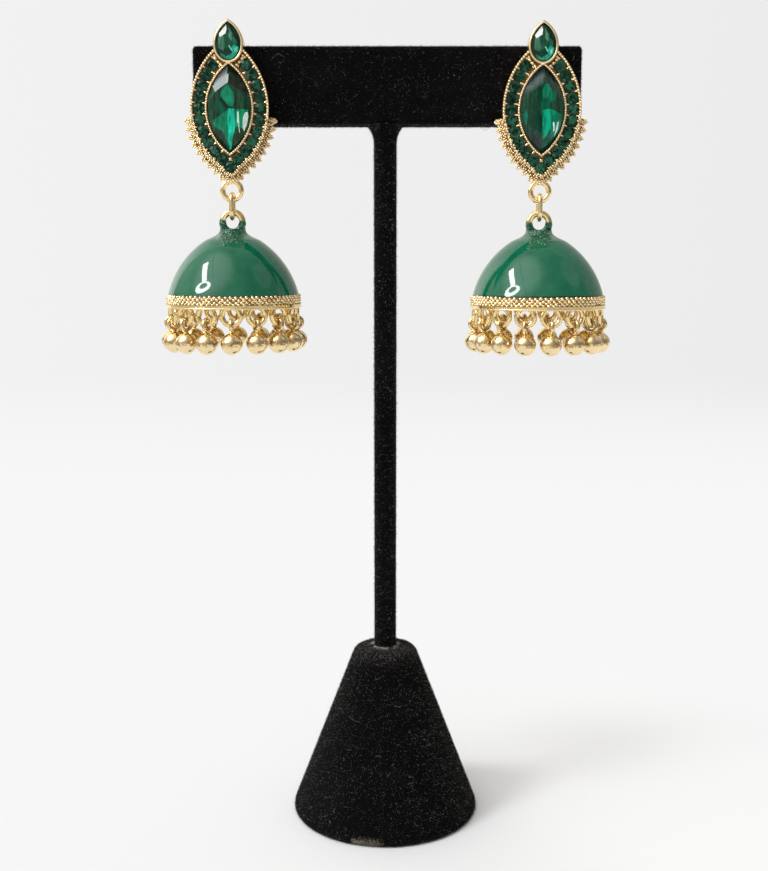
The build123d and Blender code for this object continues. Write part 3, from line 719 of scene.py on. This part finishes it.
def cut_stone(parts, outline, crown, table_h, foil, ground, place, front, shades=None, gloss=1.0):
    """Adds a stone's crown over its outline to parts: a flat table, tilted facets and a low girdle."""
    planes = [(np.zeros(2), table_h)]
    for azimuth, reach in crown:
        out = polar(azimuth)
        touch = [p for p in outline if abs(p[0] * out[1] - p[1] * out[0]) < 0.12 and np.array(p) @ out > 0]
        rim = np.linalg.norm(touch[0]) if touch else max(np.array(p) @ out for p in outline)
        slope = (table_h - GIRDLE_T) / (rim - reach)
        planes.append((-slope * out, table_h + slope * reach))
    regions = []
    for k, (slope, height) in enumerate(planes):
        region = [np.array(p, float) for p in outline]
        for j, (other, level) in enumerate(planes):
            if j != k and len(region) > 2:
                region = clipped(region, slope - other, level - height)
        if len(region) > 2:
            regions.append((region, (slope, height), shades[k] if shades else ground))
    # Each patch of the foil's painted reflection is cut into the facets with its own colour
    for polygon, colour in foil:
        regions = carved(regions, polygon, colour)
    points, faces, tones = parts
    for corners, (slope, height), colour in regions:
        faces.append(list(range(len(points), len(points) + len(corners)))[::-1])
        for p in corners:
            points.append((place[0] + p[0], -(front + p @ slope + height), place[1] + p[1]))
            # Pale patches, the painted highlights, get no coat
            tones.append((*colour, 0.0 if colour[0] > 0.25 else gloss))
    for k in range(len(outline)):
        a, b = outline[k - 1], outline[k]
        faces.append([len(points) + n for n in range(4)])
        for p, depth in ((a, GIRDLE_T + 0.02), (b, GIRDLE_T + 0.02), (b, -0.5), (a, -0.5)):
            points.append((place[0] + p[0], -(front + depth), place[1] + p[1]))
            tones.append((0.002, 0.012, 0.008, 1.0))


def stone_piece(name, parts, replaced):
    points, faces, tones = parts
    mesh = new_piece(name, points, faces, crystal_cut, "stand", [replaced])
    mesh.attributes.new("tone", "FLOAT_COLOR", "POINT").data.foreach_set("color", np.array(tones).ravel())


ACCENT_R, ACCENT_GIRDLE, ACCENT_TABLE = 1.15, 5.85, 0.5
ACCENT_OUTLINE = [polar(a, ACCENT_R) for a in np.arange(0, 360, 22.5)]
ACCENT_DARK, ACCENT_LIGHT = np.array((0.006, 0.026, 0.016)), np.array((0.034, 0.150, 0.090))
ACCENT_TINT = np.array((0.024, 0.090, 0.052))
for side, stud in studs.items():
    parts = ([], [], [])
    outline = [(x, z - MARQUISE_Z) for x, z in marquise_line(0.0, 40)]
    foil = LEFT_MARQUISE_PAINTED_REFLECTIONS if side == "left" else RIGHT_MARQUISE_PAINTED_REFLECTIONS
    place = (stud[0], MARQUISE_Z - stud[1])
    cut_stone(parts, outline, MARQUISE_CROWN, MARQUISE_TABLE, foil, MARQUISE_GROUND, place, GIRDLE)
    stone_piece(f"cut_marquise_{side}", parts, f"marquise_stone_{side}")
    parts = ([], [], [])
    outline = [(x, z - PEAR_Z) for x, z in pear_line(0.0, 24)]
    place = (stud[0], PEAR_Z - stud[1])
    cut_stone(parts, outline, PEAR_CROWN, PEAR_TABLE, PEAR_PAINTED_REFLECTIONS, PEAR_GROUND, place, GIRDLE, PEAR_SHADES)
    stone_piece(f"cut_pear_{side}", parts, f"pear_stone_{side}")
    # The small round stones get darker painted reflections: each facet a random shade between dark and light, with
    # dim wedges over them, each stone turned its own way
    rng = np.random.default_rng(8 if side == "left" else 9)
    parts = ([], [], [])
    line, _ = spaced(leaf_line(HALO_FOOT, HALO_BEND, HALO_SIDE, HALO_TOP), FINE_STEP)
    for number in range(ACCENTS_A_SIDE + 1):
        at = line[min(int(number * ACCENT_PITCH / FINE_STEP), len(line) - 1)]
        for point in both_sides([at]):
            crown = [(45 * k + 22.5 * (number % 2), 0.55 * ACCENT_R) for k in range(8)]
            depth = rng.random(9) ** 1.8
            shades = [tuple(ACCENT_DARK * (1 - t) + ACCENT_LIGHT * t) for t in depth]
            foil = []
            for _ in range(7):
                turn, wide = rng.uniform(0, 360), rng.uniform(10, 30)
                far = rng.uniform(0.5, 0.85) * ACCENT_R
                wedge = [(0.0, 0.0), polar(turn - wide / 2, far), polar(turn + wide / 2, far)]
                foil.append((wedge, tuple(ACCENT_TINT * rng.uniform(0.1, 1.4) ** 3)))
            place = (stud[0] + point[0], point[1] - stud[1])
            cut_stone(parts, ACCENT_OUTLINE, crown, ACCENT_TABLE, foil, shades[0], place, ACCENT_GIRDLE, shades, 0.3)
    stone_piece(f"cut_accents_{side}", parts, f"accent_stones_{side}")

# -------- clutches and links
# Plain push-on clutches behind the bar, each a turned barrel and disc gripping the ear post, and
# a closed oval link of round plated wire that joins each stud's ring to its bell's loop.
for side in ("left", "right"):
    for part in ("ear_clutch", "drop_link"):
        dress(f"{part}_{side}", gold_metal)

# -------- enamelled bells
# One plated casting each, its dome under a thick coat of emerald enamel that climbs in lumps
# round the neck and over the loop, where it was dipped.
DOME_ARC_R, DOME_ARC_X, DOME_ARC_DOWN = 18.63, -4.49, 19.3
FLARE_X, NECK_R, NECK_DOWN, ENAMEL_FOOT, ENAMEL_T = 5.9, 2.7, 1.45, 15.0, 0.25
enamel = Recipe("emerald enamel")
cloud = enamel.noise(0.35, 3.0, 0.6)
pits = enamel.noise(6.0, 2.0, 0.6)
enamel_x, _, enamel_z = enamel.xyz()
off_axis = ((enamel_x * enamel_x) ** 0.5 - 31.9) ** 2.0
high_up = (enamel_z - 126.4 + (cloud - 0.5) * 2.0).above(0.0, 0.9) * (9.0 - off_axis).above(0.0, 6.0)
cobble = enamel.noise(1.25, 3.0, 0.65)
green = enamel.blend(cloud.above(0.3, 0.75), (0.0035, 0.126, 0.063), (0.008, 0.158, 0.083))
green = enamel.blend(high_up * cobble.above(0.58, 0.42), green, (0.002, 0.060, 0.030))
green = enamel.blend(high_up * cobble.above(0.58, 0.70), green, (0.09, 0.34, 0.20))
# Painted shade: the enamel darkens just above the band, in the gap where it meets the granules
painted_gap_shade = (116.0 - enamel_z + (cobble - 0.5) * 0.3).above(0.0, 0.15)
green = enamel.blend(painted_gap_shade * 0.85, green, (0.008, 0.030, 0.018))
enamel_coat = enamel.surface(
    Base_Color=green,
    Roughness=0.05,
    Specular_IOR_Level=0.55,
    Normal=enamel.bump(pits * 0.002 + high_up * cobble, 0.45),
)


def dome_profile(steps, inset):
    """Radius and distance below the loop's centre, from the band up to the neck."""
    arc_r = DOME_ARC_R - inset
    flare_down = DOME_ARC_DOWN - math.sqrt(arc_r**2 - (FLARE_X - DOME_ARC_X) ** 2)
    downs = np.linspace(ENAMEL_FOOT, flare_down, steps)
    arc = [(DOME_ARC_X + math.sqrt(arc_r**2 - (DOME_ARC_DOWN - d) ** 2), d) for d in downs]
    start, end = np.array(arc[-1]), np.array((NECK_R - inset, NECK_DOWN))
    slope = np.array((-(DOME_ARC_DOWN - start[1]), -(start[0] - DOME_ARC_X)))
    slope = slope / np.linalg.norm(slope)
    reach = np.linalg.norm(end - start)
    for t in np.linspace(0, 1, steps // 2)[1:]:
        h = (2 * t**3 - 3 * t**2 + 1, t**3 - 2 * t**2 + t, -2 * t**3 + 3 * t**2, t**3 - t**2)
        arc.append(tuple(h[0] * start + h[1] * slope * reach + h[2] * end + h[3] * np.array((0, -1)) * reach))
    return np.array(arc)


def turned(stock, profile, axis, segments):
    """Adds a profile of (radius, height) points turned about an upright axis."""
    turns = np.linspace(0, 2 * np.pi, segments, endpoint=False)
    x = axis[0] + profile[:, 0, None] * np.cos(turns)
    y = axis[1] + profile[:, 0, None] * np.sin(turns)
    z = np.broadcast_to(profile[:, 1, None], x.shape)
    stock.add(np.stack([x, y, z], -1).reshape(-1, 3), grid_faces(len(profile), segments))


DOME_STEPS, DOME_SEGMENTS, LUMPS_ON_LOOP, LUMPS_ON_NECK = 56, 160, 12, 30
LOOP_R, LOOP_WIRE_R, LOOP_COAT_R, LOOP_FOOT_R, LOOP_STEPS = 2.06, 0.69, 0.77, 0.58, 60
bells = {}
for side in ("left", "right"):
    low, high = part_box(f"bell_shell_{side}")
    bells[side] = ((low.x + high.x) / 2 / MM, (low.y + high.y) / 2 / MM, high.z / MM - (LOOP_R + LOOP_WIRE_R))
    axis_x, axis_y, loop_z = bells[side]
    coat = Stock()
    outside, inside = dome_profile(DOME_STEPS, 0), dome_profile(DOME_STEPS, ENAMEL_T)
    profile = np.concatenate([outside, inside[::-1], outside[:1]])
    profile[:, 1] = loop_z - profile[:, 1]
    turned(coat, profile, (axis_x, axis_y), DOME_SEGMENTS)
    rng = np.random.default_rng(3 if side == "left" else 4)
    # The coat over the loop, thinner towards its two ends, and down the loop's feet
    arc = np.radians(np.linspace(rng.uniform(160, 168), rng.uniform(372, 380), LOOP_STEPS))
    x, z = axis_x + LOOP_R * np.cos(arc), loop_z + LOOP_R * np.sin(arc)
    step = np.arange(LOOP_STEPS)
    thick = LOOP_COAT_R - 0.13 * np.clip(1 - np.minimum(step, LOOP_STEPS - 1 - step) / 6.0, 0, 1)
    path = np.stack([x, np.full(LOOP_STEPS, axis_y), z], 1)
    tube(coat, path, thick + 0.02 * np.sin(step * 1.1), closed=False, segments=20)
    for sign in (1, -1):
        x, z = axis_x + sign * np.linspace(2.0, 2.12, 8), loop_z - np.linspace(0.2, 1.9, 8)
        tube(coat, np.stack([x, np.full(8, axis_y), z], 1), LOOP_FOOT_R, closed=False)
    lumps = []
    for _ in range(LUMPS_ON_LOOP):
        x = rng.uniform(1.6, 2.3) * rng.choice((-1, 1))
        lumps.append((x, rng.uniform(-0.7, -0.45), -rng.uniform(0.0, 1.5)))
    for _ in range(LUMPS_ON_NECK):
        down, turn = rng.uniform(1.6, 4.6), math.radians(rng.normal(-88, 19))
        reach = np.interp(down, outside[::-1, 1], outside[::-1, 0])
        lumps.append((reach * math.cos(turn), reach * math.sin(turn) + 0.22, -down - 0.22))
    sizes = rng.uniform(0.3, 0.5, len(lumps))
    beads(coat, np.array((axis_x, axis_y, loop_z)) + np.array(lumps), sizes, FRONT)
    coat.piece(f"enamel_dome_{side}", enamel_coat, f"bell_{side}", [f"bell_enamel_{side}"])

# The casting inside: gold, washed dark behind the granules, with the foot of its loop dipped in enamel
for side, (axis_x, axis_y, loop_z) in bells.items():
    shell = Recipe(f"bell casting {side}")
    shell_x, shell_y, shell_z = shell.xyz()
    out_x, out_y = shell_x - axis_x, shell_y - axis_y
    reach = (out_x * out_x + out_y * out_y) ** 0.5
    ground = reach.above(13.3, 13.55) * (loop_z - 14.9 - shell_z).above(-0.1, 0.1)
    ground = ground * (shell_z - (loop_z - 16.85)).above(-0.1, 0.1)
    worn_gold = shell.noise(1.4, 4.0, 0.65)
    wash = (ground + (worn_gold - 0.5) * 0.4).above(0.3, 0.8)
    dip = (loop_z + 0.3 - shell_z + (shell.noise(1.1, 2.0) - 0.5) * 0.8).above(-0.12, 0.12)
    dip = dip * (3.4 - reach).above(-0.1, 0.1)
    speckle = shell.noise(6.0, 2.0, 0.6).above(0.5, 0.7)
    casting_gold = shell.blend(worn_gold.above(0.35, 0.75), (0.90, 0.70, 0.36), (0.80, 0.60, 0.28))
    casting_gold = shell.blend(wash, casting_gold, (0.24, 0.145, 0.06))
    dipped = shell.blend(speckle, (0.005, 0.13, 0.065), (0.09, 0.34, 0.20))
    casting = shell.surface(
        Base_Color=shell.blend(dip, casting_gold, dipped),
        Metallic=(1.0 - wash * 0.6) * (1.0 - dip),
        Roughness=0.14 + worn_gold * 0.12 + wash * 0.4 - dip * 0.1,
        Normal=shell.bump(shell.noise(2.5, 2.0), 0.15, dip * 0.8),
    )
    dress(f"bell_shell_{side}", casting)

# -------- granulated bands
# Four staggered rows of gold granules round the rim of each bell, cast with it and washed dark
# in between, over two plain wires at the rim's foot.
BAND_R, GRANULES, GRANULE_JITTER, RIM_WIRES = 13.62, 80, 0.05, ((17.02, 0.2, 13.9), (17.42, 0.2, 13.95))
# Rows: distance below the loop's centre, radius, shift in granules
GRANULE_ROWS = ((15.28, 0.41, 0.0), (15.78, 0.44, 0.5), (16.28, 0.44, 0.0), (16.72, 0.41, 0.5))
for side, (axis_x, axis_y, loop_z) in bells.items():
    rng = np.random.default_rng(31 if side == "left" else 32)
    band = Stock()
    for down, radius, shift in GRANULE_ROWS:
        turns = (np.arange(GRANULES) + shift) * 2 * np.pi / GRANULES
        out = np.stack([np.cos(turns), np.sin(turns), np.zeros(len(turns))], 1)
        places = np.array((axis_x, axis_y, loop_z - down)) + out * BAND_R
        places += rng.normal(size=places.shape) * GRANULE_JITTER
        beads(band, places, radius * rng.uniform(0.85, 1.12, len(turns)), out)
    turns = np.linspace(0, 2 * np.pi, 200, endpoint=False)
    for down, radius, reach in RIM_WIRES:
        x, y = axis_x + reach * np.cos(turns), axis_y + reach * np.sin(turns)
        tube(band, np.stack([x, y, np.full(200, loop_z - down)], 1), radius, segments=10)
    band.piece(f"band_granules_{side}", gold_metal, f"bell_{side}")

# -------- ghungroos
# Hollow beaten brass balls, plated, each with a cap soldered on and a small ring through an eye
# of the rim. A speckled dark band round each ball's middle is tarnish in the seam and a painted
# reflection of the dim room at the horizon; the caps and rings are painted darker and duller,
# as wear and as painted shade under the band.
drops = Recipe("gold ghungroo")
drop_tone = drops.noise(1.4, 4.0, 0.65)
level = drops.facing(2)
# Painted reflection and tarnish: a speckled dark band where each ball faces sideways, for the dim room at the
# horizon
sideways_band = level.above(-0.35, -0.05) * (0.45 - level).above(0.0, 0.3)
tarnish_and_reflection = sideways_band * drops.noise(1.5, 4.0, 0.75).above(0.45, 0.58)
# Caps and rings above the balls are painted darker and duller: wear, and painted shade under the band
dulled_and_shaded = (drops.xyz()[2] - 108.9).above(0.0, 0.8)
polished = drops.blend(drop_tone.above(0.35, 0.75), *GOLD)
drop_gold = drops.surface(
    Base_Color=drops.blend(tarnish_and_reflection, drops.blend(dulled_and_shaded, polished, (0.76, 0.60, 0.32)), (0.30, 0.18, 0.09)),
    Metallic=1.0 - tarnish_and_reflection * 0.4,
    Roughness=0.13 + drop_tone * 0.13 + tarnish_and_reflection * 0.3 + dulled_and_shaded * 0.08,
    Normal=drops.bump(drops.noise(2.0, 3.0, 0.6), 0.05, 0.35),
)
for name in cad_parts:
    if name.startswith("ghungroo"):
        dress(name, drop_gold)

# -------- studio
# A pale table that runs into a pale backdrop, in a room that is bright on the left and dim in front.
# A broad daylight lamp at the upper left casts the shadow, and a small lamp shows in the enamel.
table_top = Recipe("pale table")
table_x, table_y, _ = table_top.xyz()
# Seen by the camera, the table turns into an even glow from 30 mm out, painted light that also lifts the outer part
# of the stand's shadow
far = table_top.node("ShaderNodeVectorMath", {"operation": "LENGTH"}, {0: table_top.place()}, out=1)
far = (far * 1000.0).above(30.0, 140.0)
seen = table_top.node("ShaderNodeLightPath", out=0)


def wall(recipe, rightward):
    """The backdrop's pale grey, a little darker to the right."""
    level = 0.857 - 0.068 * rightward
    return recipe.node("ShaderNodeCombineColor", None, {0: level, 1: level * 1.004, 2: level * 1.003})


distant = wall(table_top, table_x / (table_y + 250.0))
distant = table_top.blend(table_y.above(250.0, 1050.0), (0.931, 0.934, 0.932), distant)
glow = table_top.node("ShaderNodeEmission", None, {"Color": distant})
# The paper is painted lighter towards the right, painted light that evens out the floor where less light falls
paper = table_top.blend(table_x.above(-100.0, 120.0), (0.843, 0.866, 0.908), (0.905, 0.924, 0.958))
paint = table_top.shader(Base_Color=paper, Roughness=0.9, Specular_IOR_Level=0.1)
floor_look = table_top.node("ShaderNodeMixShader", None, {0: far * seen, 1: paint, 2: glow})
bpy.ops.mesh.primitive_plane_add(size=6.0, location=(0, 0, 0))
floor = bpy.context.object
floor.name = "table"
floor.data.materials.append(table_top.output(floor_look))

studio = Recipe("studio", "worlds")
way = studio.node("ShaderNodeTexCoord", out="Generated")
way_x, way_y, way_z = (studio.node("ShaderNodeSeparateXYZ", None, {0: way}, out) for out in range(3))
clutter = studio.noise(0.0024, 3.0, 0.7, where=way)
horizon = (0.4 - way_z).above(0.0, 0.4) * (way_z + 0.12).above(0.0, 0.1)
room = (0.59 - horizon * clutter.above(0.42, 0.58) * 0.5) * (1.0 - way_x.above(0.0, 0.6) * 0.54)
sheet = (way_y - 0.1).above(-0.05, 0.05) * (way_x + 1.4 * way_y).above(-0.03, 0.03)
sheet_shade = 1.0 - way_x.above(-0.5, 0.7) * 0.5 + (-0.4 - way_x).above(0.0, 0.25) * 0.5
blind = way_x * 0.880 - way_y * 0.194 + way_z * 0.433
slat = blind.above(-0.012, -0.006) * (0.012 - blind).above(0.0, 0.006)
curtain = (way_z * 0.615 - way_x * 0.775 - way_y * 0.15).above(0.74, 0.86)
window = (way_z * 0.777 - way_x * 0.47 - way_y * 0.42).above(0.80, 0.965) * (1.0 - slat * 0.85)
patch = (way_z * 0.69 + way_x * 0.70 - way_y * 0.15).above(0.955, 0.968)
shade = (room + curtain * 0.32 + window * 1.35 + patch * 0.35) * (1.0 - sheet) + sheet_shade * sheet
tinted = {0: shade, 1: shade - room * 0.06, 2: shade - room * (0.15 + 0.2 * horizon)}
air = studio.node("ShaderNodeCombineColor", None, tinted)
sky = studio.blend(studio.node("ShaderNodeLightPath", out=0), air, wall(studio, way_x))
studio.output(studio.node("ShaderNodeBackground", None, {"Color": sky, "Strength": 1.0}), "World")
bpy.context.scene.world = studio.material

# Soft daylight from the upper left that gives the stand its shadow, with no reflection of its own
DAYLIGHT_FROM, DAYLIGHT_SPREAD = (-0.63, -0.29, 0.75), 13
daylight_lamp = bpy.data.lights.new("daylight", "SUN")
daylight_lamp.energy, daylight_lamp.angle = 0.88, math.radians(DAYLIGHT_SPREAD)
daylight = placed("daylight", daylight_lamp)
daylight.rotation_euler = Vector(DAYLIGHT_FROM).to_track_quat("Z", "Y").to_euler()
daylight.visible_glossy = False

# A keyhole-shaped lamp that only shows in reflections: a strip above a ring, given by directions from a bell
LAMP_FROM, LAMP_AWAY, LAMP_WIDE = np.array((-0.036, -0.016, 0.118)), 1.3, 0.064
strip_top, strip_foot = np.array(((-0.597, -0.027, 0.802), (-0.66, -0.425, 0.615)))
ring_left, ring_right = np.array(((-0.85, -0.31, 0.46), (-0.54, -0.62, 0.575)))
ring_foot, ring_top = np.array(((-0.775, -0.462, 0.435), (-0.66, -0.40, 0.64)))
ring_middle, ring_across = (ring_left + ring_right) / 2, (ring_right - ring_left) / 2
ring_up = (ring_top - ring_foot) / 2
strip_side = np.cross(strip_top - strip_foot, strip_top + strip_foot)
strip_side *= LAMP_WIDE / np.linalg.norm(strip_side)
corners = [strip_top - strip_side, strip_top + strip_side, strip_foot + strip_side, strip_foot - strip_side]
turns = np.linspace(0, 2 * np.pi, 32, endpoint=False)
for size, lift in ((1.0, 0.0), (0.52, 0.22)):
    middle = ring_middle + ring_up * lift
    corners += [middle + size * (ring_across * math.cos(t) + ring_up * math.sin(t)) for t in turns]
faces = [(0, 1, 2, 3)] + [(4 + k, 4 + (k + 1) % 32, 36 + (k + 1) % 32, 36 + k) for k in range(32)]
glare = Recipe("lamp glare")
glare_look = glare.node("ShaderNodeEmission", None, {"Color": (1, 1, 0.98, 1), "Strength": 22.0})
lamp_mesh = bpy.data.meshes.new("keyhole lamp")
lamp_mesh.from_pydata((LAMP_FROM + np.array(corners) * LAMP_AWAY).tolist(), [], faces)
lamp_mesh.materials.append(glare.output(glare_look))
lamp = placed("keyhole lamp", lamp_mesh)
lamp.visible_camera = lamp.visible_diffuse = lamp.visible_shadow = False

# The camera stands a little above the bells and looks slightly down
CAMERA_PLACE, CAMERA_DOWN, CAMERA_LENS = (-0.27, -250.4, 122.8), 8.53, 48.0
lens = bpy.data.cameras.new("camera")
lens.lens, lens.sensor_width = CAMERA_LENS, 36.0
lens.clip_start = 0.01
camera = placed("camera", lens)
camera.location = Vector(CAMERA_PLACE) * MM
camera.rotation_euler = (math.radians(90 - CAMERA_DOWN), 0, 0)
bpy.context.scene.camera = camera
bpy.context.scene.view_settings.view_transform = "Standard"
